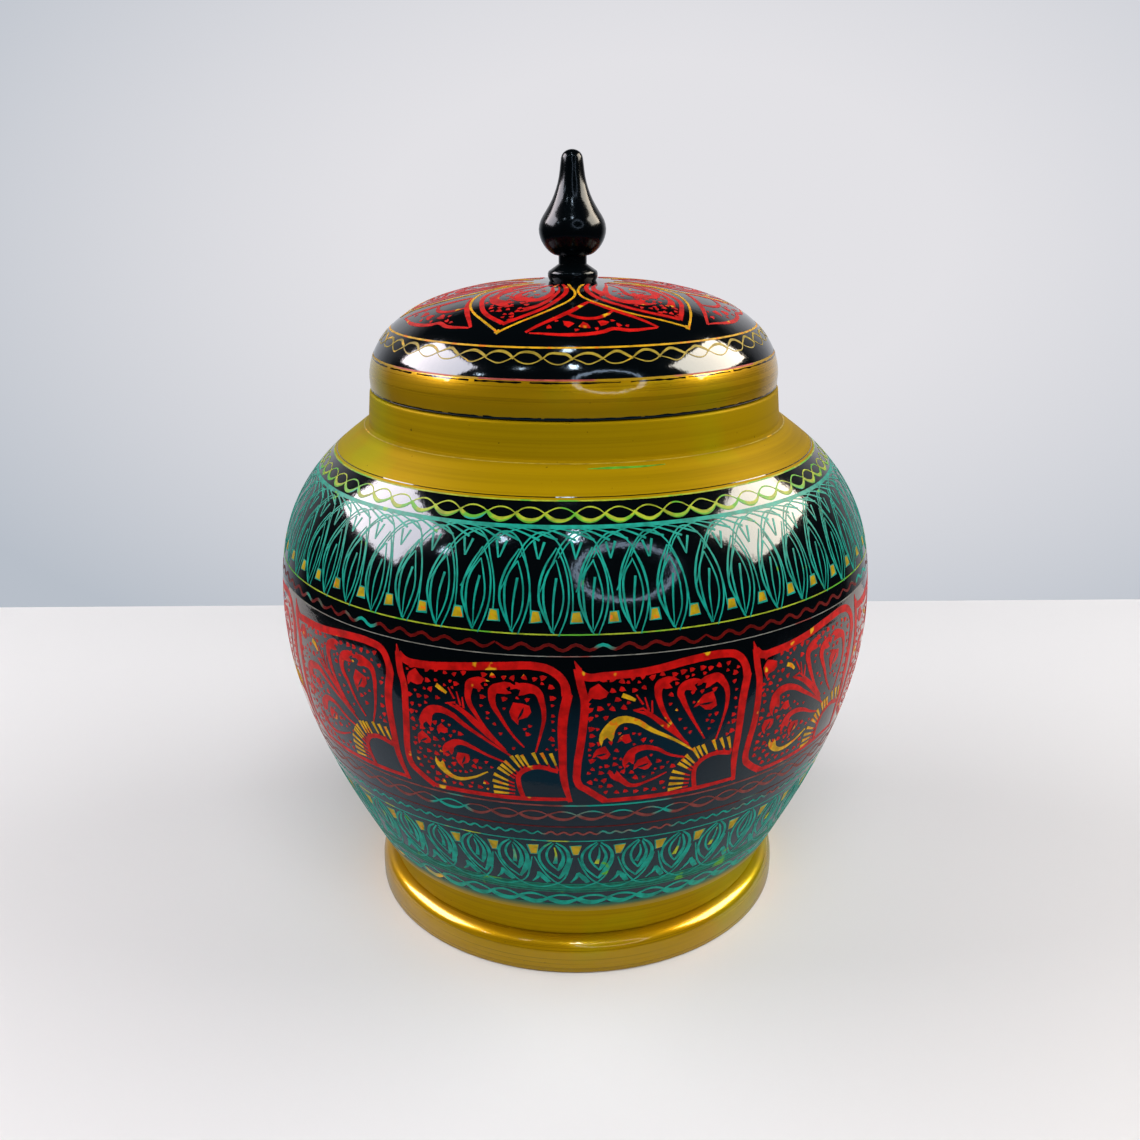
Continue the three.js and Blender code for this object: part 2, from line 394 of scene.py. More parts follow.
def cut_at(run, height):
    """The run with a point of its own at a height, where a colour ends."""
    for i, (a, b) in enumerate(zip(run, run[1:])):
        if min(a.y, b.y) + WELD < height < max(a.y, b.y) - WELD:
            return run[: i + 1] + [a.lerp(b, (height - a.y) / (b.y - a.y))] + run[i + 1 :]
    return run


class Flank:
    """The rising outside line of some pieces, looked up by height or by the length along it."""

    step = 0.25 * MM

    def __init__(self, nodes):
        points = []
        for node in nodes:
            run = outermost(fine_section(node))
            for p in run if run[0].y < run[-1].y else run[::-1]:
                if not points or p.y > points[-1].y + WELD:
                    points.append(p)
        self.table = [points[0]]
        walked = 0
        for a, b in zip(points, points[1:]):
            leg = (b - a).length
            while len(self.table) * self.step <= walked + leg:
                self.table.append(a.lerp(b, (len(self.table) * self.step - walked) / leg))
            walked += leg
        self.length = self.step * (len(self.table) - 1)

    def along(self, height):
        """The length along the line at a height."""
        for i, (a, b) in enumerate(zip(self.table, self.table[1:])):
            if b.y >= height:
                return self.step * (i + (height - a.y) / (b.y - a.y))
        return self.length

    def at(self, length):
        """The point at a length along the line, and the way out of the surface there."""
        i = max(0, min(len(self.table) - 2, int(length / self.step)))
        a, b = self.table[i], self.table[i + 1]
        step = (b - a).normalized()
        return a + step * (length - i * self.step), Vector((step.y, -step.x))

    def radius(self, height):
        """The outside radius at a height, in metres."""
        return self.at(self.along(height))[0].x


flank = Flank(["lower_body", "upper_body"])
dome = Flank(["lid_cap"])


def spin_run(shape, run):
    """Adds a run of (radius, height) points, spun right round the axis.

    It is spun in a bmesh of its own, as a spin slows down with all that its bmesh holds.
    """
    part = bmesh.new()
    verts = [part.verts.new((0, -p.x, p.y)) for p in run]
    edges = [part.edges.new(pair) for pair in zip(verts, verts[1:])]
    bmesh.ops.spin(
        part,
        geom=verts + edges,
        cent=(0, 0, 0),
        axis=(0, 0, 1),
        angle=2 * math.pi,
        steps=TURN_STEPS,
        use_merge=True,
    )
    mesh = mesh_of("run", part)
    shape.from_mesh(mesh)
    bpy.data.meshes.remove(mesh)


def new_piece(name, shape, finishes, body):
    """A finished mesh as a piece that rides on a body, with the materials of its finishes."""
    mesh = mesh_of(name, shape)
    for finish in finishes:
        mesh.materials.append(finish_named(finish))
    piece = new_object(name, mesh)
    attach(piece, body)
    return piece


def painted(bands, height):
    """The finish at a height. bands is a finish, the height where it ends, the next one, and on."""
    for finish, end in zip(bands[::2], bands[1::2]):
        if height < end:
            return finish
    return bands[-1]


def turned_piece(name, node, body, finishes, outside, inside):
    """A turned piece, spun from its section and painted in bands from below, outside and inside."""
    shape = bmesh.new()
    runs = fine_section(node)
    outer = outermost(runs)
    for run in runs:
        bands = outside if run is outer else inside
        before = len(shape.faces)
        for height in outside[1::2]:
            run = cut_at(run, height)
        spin_run(shape, run)
        shape.faces.ensure_lookup_table()
        for face in shape.faces[before:]:
            height = face.calc_center_median().z
            face.material_index = finishes.index(painted(bands, height))
            face.smooth = True
    bmesh.ops.remove_doubles(shape, verts=shape.verts, dist=WELD)
    bmesh.ops.recalc_face_normals(shape, faces=shape.faces)
    for edge in shape.edges:
        edge.smooth = len(edge.link_faces) == 2 and edge.calc_face_angle(0) < CORNER
    piece = new_piece(name, shape, finishes, body)
    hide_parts(node)


def turned_line(name, line, height, width, finish, body):
    """A line right round the jar, mostly cut on the lathe; the one on the neck's step is a painted
    highlight.
    """
    shape = bmesh.new()
    middle = line.along(height)
    corners = []
    for side, lift in ((-1, -1), (-1, 1), (1, 1), (1, -1), (-1, -1)):
        point, out = line.at(middle + side * width / 2 * MM)
        corners.append(point + out * lift * RELIEF)
    spin_run(shape, corners)
    bmesh.ops.remove_doubles(shape, verts=shape.verts, dist=WELD)
    bmesh.ops.recalc_face_normals(shape, faces=shape.faces)
    new_piece(name, shape, [finish], body)


def by_hand(points, rng, slip):
    """The points, each off its place by up to slip millimetres, as a hand leaves them."""
    return [
        (x + rng.uniform(-slip, slip), y + rng.uniform(-slip, slip), *share)
        for x, y, *share in points
    ]


def laid(outline, x, y=0, wide=1, high=1):
    """An outline scaled and moved to its place in a drawing."""
    return [(x + u * wide, y + v * high, *share) for u, v, *share in outline]


class Drawing:
    """Strokes and chips of one colour, drawn flat in millimetres and then laid on the jar."""

    def __init__(self, name, relief=RELIEF):
        self.name = name
        self.relief = relief
        self.count = 0
        self.lines = bpy.data.curves.new(name + "_lines", "CURVE")
        self.lines.dimensions = "2D"
        self.lines.fill_mode = "NONE"
        self.lines.bevel_mode = "OBJECT"
        self.lines.resolution_u = 4
        self.lines.use_fill_caps = True
        self.chips = []

    def stroke(self, points, width, start=1.0, end=1.0):
        """A line through points of x, y and, where it isn't whole, the share of its width.

        start and end are the shares at the ends. Each stroke lies on one of a few levels.
        """
        spline = self.lines.splines.new("BEZIER")
        spline.bezier_points.add(len(points) - 1)
        last = len(points) - 1
        for i, (x, y, *share) in enumerate(points):
            knot = spline.bezier_points[i]
            knot.co = (x * MM, y * MM, self.count % LEVELS * MM)
            knot.handle_left_type = knot.handle_right_type = "AUTO"
            taper = start if i == 0 else end if i == last else 1
            knot.radius = width / 2 * (share[0] if share else taper)
        self.count += 1

    def strokes(self, outlines, rng, slip, *place):
        """A set of strokes, each with its width, laid at one place by hand."""
        for width, outline in outlines:
            self.stroke(by_hand(laid(outline, *place), rng, slip), width)

    def chip(self, points, round_middle=True):
        """A small filled patch with straight sides. Its middle gets a point, to follow the jar."""
        self.chips.append((points, round_middle))

    def flat_mesh(self, shape):
        """Adds the drawing to a bmesh, still flat: thin slabs of chips and ribbons of strokes."""
        whole = []
        for points, round_middle in self.chips:
            face = shape.faces.new([shape.verts.new((x * MM, y * MM, CHIP_HALF)) for x, y in points])
            if round_middle:
                whole.append(face)
        bmesh.ops.poke(shape, faces=whole)
        lower = bmesh.ops.extrude_face_region(shape, geom=shape.faces[:])["geom"]
        verts = [part for part in lower if isinstance(part, bmesh.types.BMVert)]
        bmesh.ops.translate(shape, verts=verts, vec=(0, 0, -2 * CHIP_HALF))
        if not self.lines.splines:
            return
        section = bpy.data.curves.new("stroke_section", "CURVE")
        section.dimensions = "2D"
        spline = section.splines.new("POLY")
        spline.points.add(3)
        spline.use_cyclic_u = True
        for knot, (x, y) in zip(spline.points, ((-1, -1), (1, -1), (1, 1), (-1, 1))):
            knot.co = (x * MM, y * STROKE_HALF * MM, 0, 1)
        profile = new_object("stroke_section", section)
        self.lines.bevel_object = profile
        ribbons = new_object("strokes", self.lines)
        bpy.context.view_layer.update()
        graph = bpy.context.evaluated_depsgraph_get()
        flat = bpy.data.meshes.new_from_object(ribbons.evaluated_get(graph))
        shape.from_mesh(flat)
        bpy.data.meshes.remove(flat)
        for holder in (profile, ribbons):
            bpy.data.objects.remove(holder)

    def wrap(self, place, finish, body):
        """Lays the drawing on the jar. place gives the surface for a point of the drawing."""
        shape = bmesh.new()
        self.flat_mesh(shape)
        bmesh.ops.remove_doubles(shape, verts=shape.verts, dist=WELD)
        for v in shape.verts:
            level = round(v.co.z / MM)
            point, out, angle = place(v.co.x, v.co.y)
            lift = self.relief * (1 + 0.1 * level) if v.co.z > level * MM else -RELIEF
            point = point + out * lift
            v.co = (point.x * math.sin(angle), -point.x * math.cos(angle), point.y)
        for face in shape.faces:
            face.smooth = False
        bmesh.ops.recalc_face_normals(shape, faces=shape.faces)
        new_piece(self.name, shape, [finish], body)


def band(line, height, radius=None):
    """A band round the jar: y runs up the line from a height, and x round at that radius."""
    start = line.along(height)
    radius = radius or line.radius(height)

    def place(x, y):
        return (*line.at(start + y), x / radius)

    return place


def crown(line):
    """The top seen from above: a point lies as far from the axis as it does along the dome."""
    end = line.length + line.table[-1].x

    def place(x, y):
        return (*line.at(end - math.hypot(x, y)), math.atan2(x, -y))

    return place


def pitch_of(radius, count):
    """The room in millimetres that each of count shapes has on a circle."""
    return 2 * math.pi * radius / MM / count


# One stroke of a chain: it starts blunt in a thick trough and ends thin after the next crest.
# Each point is in links and shares of the chain's rise, with its share of the width
CHAIN_STROKE = (
    (0, 0.08, 1.0), (0.22, -0.3, 1.25), (0.5, -0.5, 1.25), (0.8, -0.33, 0.9), (1.0, -0.02, 0.55),
    (1.25, 0.36, 0.5), (1.5, 0.5, 0.6), (1.78, 0.36, 0.5), (2.0, 0.05, 0.35),
)
# How many of its points the green touches under a chain follow, and how far below it they lie
UNDER_REACH = 5
UNDER_DROP = -0.3


def chain(
    name, line, height, links, rise, width, finish, body, seed, side=1, slip=0.08, under=False
):
    """Two strands that cross at every link, cut as one stroke after another.

    side -1 turns the strokes over, slip is how far the hand strays in millimetres, and under
    makes touches that lie under another chain.
    """
    rng = random.Random(seed)
    link = pitch_of(line.radius(height), links)
    drawing = Drawing(name, 0.8 * RELIEF if under else RELIEF)
    outline = CHAIN_STROKE[:UNDER_REACH] if under else CHAIN_STROKE
    drop = UNDER_DROP if under else 0
    for i in range(links):
        tall = rise * rng.uniform(0.9, 1.08)
        points = laid(outline, (i - links / 2) * link, drop, side * link, side * tall)
        drawing.stroke(by_hand(points, rng, slip), width)
    drawing.wrap(band(line, height), finish, body)


def waves(name, line, height, count, rise, width, finish, body, seed):
    """A wavy line round the jar, cut in short runs that overlap a little."""
    rng = random.Random(seed)
    half = pitch_of(line.radius(height), 2 * count)
    drawing = Drawing(name)
    drawing.lines.resolution_u = 3
    for first in range(0, 2 * count, 16):
        knots = range(first, min(first + 16, 2 * count) + 1)
        points = [((k - count) * half, rise / 2 * (-1) ** k) for k in knots]
        drawing.stroke(by_hand(points, rng, 0.12), width, start=0.5, end=0.5)
    drawing.wrap(band(line, height), finish, body)


def broken_line(name, line, height, width, finish, body, seed):
    """A thin line round the jar that fails here and there and frays at its edge."""
    rng = random.Random(seed)
    drawing = Drawing(name)
    x, end = 0, pitch_of(line.radius(height), 1)
    while x < end - 6:
        stop = min(end, x + rng.uniform(6, 26))
        steps = int((stop - x) / 1.6) + 2
        points = [
            (x + (stop - x) * k / steps, rng.uniform(-0.06, 0.06), rng.uniform(0.4, 1.3))
            for k in range(steps + 1)
        ]
        drawing.stroke(points, width)
        x = stop + rng.uniform(0.2, 2.5)
    drawing.wrap(band(line, height), finish, body)


# A tall leaf of the shoulder, in shares of the room for one leaf and of the band's height, each
# stroke with its width in millimetres: two outer sides, two inner sides and the vein
TALL_LEAF = (
    (0.5, ((-0.03, 0.01, 0.6), (-0.31, 0.22), (-0.4, 0.355), (-0.29, 0.59), (0, 0.8, 0.6))),
    (0.38, ((0.03, 0.79, 0.7), (0.24, 0.63), (0.35, 0.39), (0.28, 0.18), (0.09, -0.01, 0.6))),
    (0.46, ((-0.07, 0.02, 0.6), (-0.19, 0.13), (-0.28, 0.33), (-0.24, 0.526), (0, 0.68, 0.6))),
    (0.36, ((0, 0.68, 0.7), (0.14, 0.526), (0.2, 0.355), (0.15, 0.2), (-0.03, 0.03, 0.6))),
    (0.46, ((0.03, 0.52, 1.2), (-0.05, 0.3, 0.9), (-0.05, 0.05, 0.4))),
)
# What stands between two tall leaves, in the same shares: the V, the wide arch and three hairs
TALL_GAP = (
    (0.6, ((-0.12, 0.855), (0, 0.69, 0.6))),
    (0.6, ((0.15, 0.855), (0.01, 0.69, 0.6))),
    (0.36, ((-0.92, 0.39, 0.7), (-0.6, 0.66), (-0.25, 0.88), (0.1, 0.95), (0.45, 0.88),
            (0.72, 0.68), (0.88, 0.45), (0.93, 0.15, 0.7))),
    (0.34, ((-0.48, 0.7, 0.6), (-0.2, 0.85), (0.25, 0.95), (0.8, 1, 0.5))),
    (0.38, ((-1.15, 1, 0.5), (-0.6, 0.96), (0, 0.865, 1.4))),
    (0.38, ((-0.7, 1, 0.5), (-0.1, 0.95), (0.5, 0.87, 1.4))),
)
# A short leaf of the bowl, in shares of the room for one leaf and in millimetres up
SHORT_LEAF = (
    (0.66, ((-0.05, 19.4, 0.6), (-0.25, 17.4), (-0.385, 13.8), (-0.28, 8.6), (0.03, 4.45, 0.7))),
    (0.66, ((0.05, 19.4, 0.6), (0.23, 17.2), (0.33, 13.3, 1.4), (0.24, 8.6, 2.4), (0.04, 4.3, 1))),
    (0.6, ((-0.02, 18.9, 0.6), (-0.17, 16.1), (-0.2, 13.3), (-0.11, 10.4), (0.03, 8.2, 0.7))),
    (0.58, ((0.03, 18.5, 0.6), (0.1, 17), (0.185, 13.8, 1.2), (0.14, 10.4, 2.2), (0.04, 7.8, 1))),
)
SHORT_VEIN = ((0, 17.4, 0.5), (0.03, 14.3), (-0.025, 10.8, 2.0))
# What stands between two short leaves: the arch, and the two strokes of a tuft
SHORT_GAP = (
    (0.5, ((-1, 13.3, 0.6), (-0.86, 8.6), (-0.62, 3.6), (-0.37, 1.2), (0, 0), (0.34, 1.1),
           (0.62, 3.3), (0.83, 9.2), (0.9, 13.3, 0.6))),
    (0.9, ((0.06, 6.9), (0, 4.6), (-0.16, 2.6, 0.4))),
    (1.6, ((0.06, 6.9, 0.4), (0.17, 4.6), (0.3, 2.4, 0.8))),
)
# The corners of a dot between two short leaves, from its middle line and up
SHORT_DOT = ((-0.6, 14.7), (0.5, 14.9), (1.2, 18.2), (-1.2, 18.0))

# A panel of the belly, in millimetres right and up from its lower left corner, with widths
PANEL_FRAME = (
    (1.75, ((0, 34.1), (0.5, 29.6), (1.1, 26.6), (1.2, 21.9), (0.5, 15), (-0.2, 9.5), (0.2, 4.5),
            (1.7, 2.8), (5.6, -0.6))),
    (1.2, ((5.4, -0.6), (16, -0.45), (27, -0.25), (38, -0.1, 0.8))),
    (1.8, ((0, 33.6, 0.8), (1.6, 32.4), (5.2, 32.2), (14.5, 33), (24.6, 34.3), (32.3, 34.5),
           (35.1, 33.4), (36.9, 30.8), (37.7, 28.1, 1.2))),
    (2.1, ((37.7, 28.4), (36.6, 22.3), (36.5, 13, 0.85), (36.8, 5.8, 0.8), (37.9, -0.9, 0.5))),
    (1.3, ((0.3, 31.2), (0, 33.4), (-0.7, 35.8, 0.15))),
)
PANEL_SUN = ((27.1, -0.2), (26.3, 4.5), (26.7, 6.8), (28.3, 8.8), (31, 9.7), (35.5, 8.6))
PANEL_RAYS = (
    ((35.4, 8.8), (33.9, 13.5)),
    ((33.7, 9.3), (31.9, 13.6)),
    ((31.8, 9.4), (30, 13.5)),
    ((29.5, 8.7), (27.6, 12.8)),
    ((28.6, 8.4), (26.4, 12.6)),
    ((27.7, 8), (25.3, 12.3)),
    ((26.9, 7), (23.7, 10.7)),
    ((26.2, 6.4), (22.9, 9.7)),
    ((25.6, 5.9), (22.1, 8.7)),
    ((25.5, 4.4), (20.9, 6.6)),
    ((25.5, 3.3), (20.5, 4.7)),
    ((25.5, 2.2), (20.5, 2.8)),
    ((25.4, 1.2), (20.4, 1)),
)
# The feathers, each from its thin root by the sun to its hooked head, with the head's width
PANEL_FEATHERS = (
    (2.1, ((19.8, 6.9), (15.5, 4.5), (11.5, 3.9), (9.1, 5.5), (8, 6.8))),
    (2.5, ((24.3, 9.9), (20, 11.8), (16.5, 13.8), (13.2, 14.1), (11.5, 13.3), (10.9, 12.2))),
    (2.9, ((25.3, 12.1), (20.3, 15.7), (15.7, 19.1), (11.6, 21.5), (8.5, 21.8), (6.6, 20.7),
           (6, 19.3))),
    (2.6, ((23.1, 15), (19.9, 19.3), (18.3, 22), (16.7, 25.9), (16.4, 28.2), (17.1, 29.5),
           (18.1, 29.9))),
    (2.6, ((28, 14.6), (25.6, 18.3), (23.5, 22.3), (21.9, 25.2), (21.7, 27.2), (22.4, 28.6),
           (23.5, 29))),
    (2.6, ((30.5, 13.5), (31.8, 18.3), (32.6, 22.9), (32.5, 26.3), (31.4, 28.5), (29.9, 29.3),
           (28.7, 29.3))),
)
PANEL_STALKS = (
    (0.7, ((24, 13.9, 0.4), (20, 18.6), (16.4, 21.9), (13.6, 24.2, 0.6))),
    (0.9, ((24.5, 13.1, 0.3), (20.9, 16.8), (17.6, 20), (14.7, 22.5), (11.5, 24.2, 0.5))),
    (0.5, ((12, 28, 0.6), (13.4, 25.4))),
    (0.5, ((13.7, 27.2, 0.6), (14.5, 23.7))),
    (0.5, ((11.2, 24.1, 0.6), (13.7, 24.5))),
    (0.5, ((15.2, 26.2, 0.6), (15.4, 23.2))),
)
PANEL_SEED = ((9.1, 28.1), (10.4, 27.5), (11.6, 26.4, 0.6))
# The buds: the middle and the size of each, the outline that they share, and its dark eye
PANEL_BUDS = (
    (4.0, 28.7, 2.1), (27.8, 23.8, 2.5), (4.9, 13.4, 1.9), (9.9, 17.0, 1.4), (14.1, 9.7, 2.0),
)
BUD = (
    (-0.97, -0.95), (-1.0, -0.1), (-0.8, 0.55), (0, 1.1), (0.6, 0.55), (1.05, 0.1), (0.75, -0.5),
    (0.2, -0.68), (-0.4, -0.55), (-0.78, -0.45),
)
BUD_EYE = ((-0.62, -0.42, 0.3), (-0.15, -0.2, 1.3), (0.2, 0.0, 1.2), (0.5, 0.22, 0.2))

# The lid's petals and triangles: degrees to the side of a tip and the way from the axis in mm
PETAL_LEFT = (
    (0, 45.5), (-7, 42), (-16, 38.3), (-24, 34), (-31, 28.5), (-33, 24), (-31, 17), (-24, 11),
)
PETAL_RIGHT = ((0, 45.5), (5, 42), (11, 38.3), (17, 34), (22, 28.5), (24, 24), (22, 17), (18, 11))
PETAL_INNER_LEFT = ((0, 42.6), (-9, 38.6), (-17, 34.3), (-24, 29), (-27, 24), (-25, 17), (-16, 11))
PETAL_INNER_RIGHT = ((0, 42.6), (6, 38.6), (12, 34.3), (16, 29), (18.5, 24), (17, 17), (11, 11))
PETAL_FEATHERS = (
    (3.2, ((2, 13), (-6, 17), (-14, 21.5), (-17, 27), (-13, 31.5), (-7, 32.6))),
    (2.9, ((6, 12), (8, 17.5), (11, 22.5), (10.5, 27), (6, 29.6), (1, 29.4))),
    (2.3, ((0, 15), (-2, 20), (-5.5, 24), (-6, 26.8), (-3, 28))),
    (2.2, ((-9, 13), (-17, 16), (-21, 20.5), (-19.5, 24))),
    (1.9, ((12, 16), (15, 20), (14.5, 24.5), (10, 33), (6, 35.5))),
)
TRIANGLE_SIDES = (
    (1.5, ((-0.6, 31, 0.6), (-9, 37), (-21, 45.4, 0.5))),
    (1.5, ((0.6, 31, 0.6), (8, 36.2), (20, 44.6, 0.5))),
    (1.1, ((19, 44.8, 0.5), (10, 44.9), (5, 44.2), (2, 45.2), (-8, 45.9), (-20, 45.4, 0.4))),
    (1.1, ((-9.5, 37.4, 0.6), (-5, 39.4), (0, 39.9), (4.5, 38.7), (8, 36.4, 0.4))),
)
# The chips of a triangle: degrees, the way from the axis, and the size
TRIANGLE_CHIPS = (
    (-12.5, 40.8, 0.6), (-14.5, 43.2, 0.9), (-8.6, 42.0, 1.7), (-3.4, 42.7, 1.7), (2.6, 41.8, 1.6),
    (5.9, 41, 0.7), (7.4, 42.9, 0.9), (10, 43.3, 0.7), (-6, 44.3, 0.7), (0.2, 44, 0.7),
)

# The end of a feather's head, in half widths on along it and in towards its hollow side
CLAW = (
    (-0.2, -1), (0.9, -0.95), (1.8, -0.55), (2.6, 0.3), (1.5, 0.05), (0.8, 0.3), (1.15, 1.3),
    (0.3, 1.2), (-0.2, 1),
)
# A chip as the corner of the stylus leaves it, a small wedge with a blunt end: the angle and
# the reach of its corners
WEDGE = ((-0.1, 1.0), (1.2, 0.6), (2.3, 0.85), (3.9, 0.9), (5.0, 0.6))


def feather(drawing, points, head):
    """A feather that swells from its root to a hooked head, which ends in a claw and a tooth."""
    last = len(points) - 1
    shares = [0.15 + 0.85 * (i / last) ** 1.3 for i in range(last + 1)]
    drawing.stroke([(x, y, share) for (x, y), share in zip(points, shares)], head)
    before, neck, end = (Vector(place) for place in points[-3:])
    along = (end - neck).normalized() * head / 2
    hook = 1 if (neck - before).cross(end - neck) > 0 else -1
    inward = Vector((-along.y, along.x)) * hook
    drawing.chip([tuple(end + along * u + inward * v) for u, v in CLAW], round_middle=False)


def turned_by(outline, turn):
    """An outline turned round its own middle."""
    sine, cosine = math.sin(turn), math.cos(turn)
    return [(u * cosine - v * sine, u * sine + v * cosine, *share) for u, v, *share in outline]


def wedge(drawing, x, y, size, turn):
    """A chip of a size, turned to one side."""
    drawing.chip(
        [
            (x + size * reach * math.cos(turn + angle), y + size * reach * math.sin(turn + angle))
            for angle, reach in WEDGE
        ]
    )


def dot(rims, dots, corners, rim, rng, slip):
    """A dot with a rim round it. Its corners run round from the lower left."""
    sides = ((-1, -1), (1, -1), (1, 1), (-1, 1))
    for drawing, reach in ((rims, rim), (dots, 0)):
        moved = [(x + u * reach, y + v * reach) for (x, y), (u, v) in zip(corners, sides)]
        drawing.chip(by_hand(moved, rng, slip))


def dotted(points, gap=0.8):
    """Places along a stroke, close enough together to keep chips off it."""
    places = []
    for a, b in zip(points, points[1:]):
        start, end = Vector(a[:2]), Vector(b[:2])
        steps = max(1, math.ceil((end - start).length / gap))
        places += [start.lerp(end, k / steps) for k in range(steps + 1)]
    return places


def is_free(spot, taken, size):
    """Whether a chip of a size has room at a spot. taken holds places and how far each reaches."""
    return all((spot - place).length > size + reach for place, reach in taken)


def inside(outline, x, y):
    """Whether a place lies within a closed outline."""
    crossings = 0
    for (ax, ay), (bx, by) in zip(outline, outline[1:] + outline[:1]):
        if (ay > y) != (by > y) and x < ax + (y - ay) / (by - ay) * (bx - ax):
            crossings += 1
    return crossings % 2 == 1


def from_tip(angle, points):
    """Points given as degrees and the way from the axis, as x and y seen from above."""
    turned = [(math.radians(angle + turn), reach, share) for turn, reach, *share in points]
    return [(reach * math.sin(a), -reach * math.cos(a), *share) for a, reach, share in turned]


def height_property(name, description, height):
    """A height on the jar that a user may change, given in millimetres."""
    return bpy.props.FloatProperty(
        name=name, description=description, default=height * MM, unit="LENGTH"
    )


def count_property(name, description, count):
    """A count that a user may change."""
    return bpy.props.IntProperty(name=name, description=description, default=count)


def colour_property(name, description, hex_colour):
    """A colour that a user may change, given as it looks in plain light."""
    return bpy.props.FloatVectorProperty(
        name=name,
        description=description,
        subtype="COLOR",
        size=4,
        min=0,
        max=1,
        default=linear(hex_colour),
    )


class JarSizes(bpy.types.PropertyGroup):
    """The heights and counts of the ornament's bands."""

    shoulder_gold_edge: height_property(
        "Shoulder Gold Edge", "Where the black of the shoulder turns gold", 128.8
    )
    foot_gold_edge: height_property(
        "Foot Gold Edge", "Where the gold at the bowl's foot turns black", 21.1
    )
    lid_gold_edge: height_property(
        "Lid Gold Edge", "Where the gold side of the lid turns black", 153.2
    )
    leaf_foot: height_property("Leaf Band Foot", "Line under the tall leaves", 103.4)
    leaf_top: height_property("Leaf Band Top", "Line over the tall leaves", 124.2)
    leaf_count: count_property("Tall Leaves", "Tall leaves round the shoulder", 56)
    panel_foot: height_property("Panel Foot", "Lower edge of the red panels", 62.2)
    panel_count: count_property("Panels", "Red panels round the belly", 12)
    low_leaf_foot: height_property("Low Leaf Band Foot", "Line under the short leaves", 29.9)
    low_leaf_count: count_property("Short Leaves", "Short leaves round the bowl's foot", 44)
    petal_count: count_property("Lid Petals", "Petals round the knob", 6)


class JarColours(bpy.types.PropertyGroup):
    """The colours of the lacquers and the wood."""

    black: colour_property("Black", "Top coat that the ornament is cut through", "#030608")
    gold: colour_property("Gold", "Coat of the foot and the lid's side", "#AC8404")
    neck_gold: colour_property("Neck Gold", "Dull coat of the body and the neck", "#9D7E04")
    teal: colour_property("Teal", "Leaves and wavy lines", "#0A9E8A")
    deep_teal: colour_property("Deep Teal", "Lines under the short leaves", "#067A62")
    green: colour_property("Green", "Touches on the teal and the shoulder's chain", "#5BA82A")
    red: colour_property("Red", "Panels and petals", "#D20E08")
    dark_red: colour_property("Dark Red", "Wavy line over the panels", "#6A0804")
    brown: colour_property("Brown", "Chain under the panels", "#8E4038")
    rose: colour_property("Rose", "Line at the edge of the lid's black", "#C0564A")
    yellow: colour_property("Yellow", "Rays and lines", "#E6AC14")
    dot: colour_property("Dots", "Dots at the foot of the leaves", "#C2A00C")
    orange: colour_property("Orange", "Touches on the yellow", "#E07808")
    lime: colour_property("Lime", "Chain of the shoulder", "#AAB82C")
    # The olive also paints the highlight line on the neck's step
    olive: colour_property("Olive", "Chain of the lid and line on the neck", "#B0962E")
    pale: colour_property("Pale", "Line cut to the ground at the joint", "#8E8A80")
    wood: colour_property("Wood", "Inside and underside", "#B98A56")
    table: colour_property("Table", "Board that the jar stands on", "#E3E2E4")
    wall: colour_property("Wall", "Wall behind the table", "#E3E2E6")


class JAR_OT_turned_wood(bpy.types.Operator):
    """Spins the six turned pieces and coats them with black and gold lacquer"""

    bl_idname = "jar.turned_wood"
    bl_label = "Turned Wood"

    def execute(self, context):
        sizes = context.scene.jar_sizes
        foot, edge, lid = sizes.foot_gold_edge, sizes.shoulder_gold_edge, sizes.lid_gold_edge
        body = ["black", "brushed_gold", "wood"]
        wood = ("wood",)
        # The neck is gold over its rim too, and the lid's lowest 0.7 mm, where it sits on the neck,
        # is black as painted shade of the joint
        neck = ("wood", RIM - 0.5 * MM, "brushed_gold")
        cap = ("black", RIM + 0.7 * MM, "gold", lid, "black")
        for piece in (
            ("foot_plinth", "foot_ring", "jar", ["gold", "wood"], ("gold",), wood),
            ("bowl", "lower_body", "jar", body, ("brushed_gold", foot, "black"), wood),
            ("shoulder", "upper_body", "jar", body, ("black", edge, "brushed_gold"), wood),
            ("neck_ring", "neck_collar", "jar", body[1:], ("brushed_gold",), neck),
            ("lid_dome", "lid_cap", "lid", ["black", "gold", "wood"], cap, wood),
            ("lid_knob", "knob", "lid", ["worn_black"], ("worn_black",), ("worn_black",)),
        ):
            turned_piece(*piece)
        return {"FINISHED"}


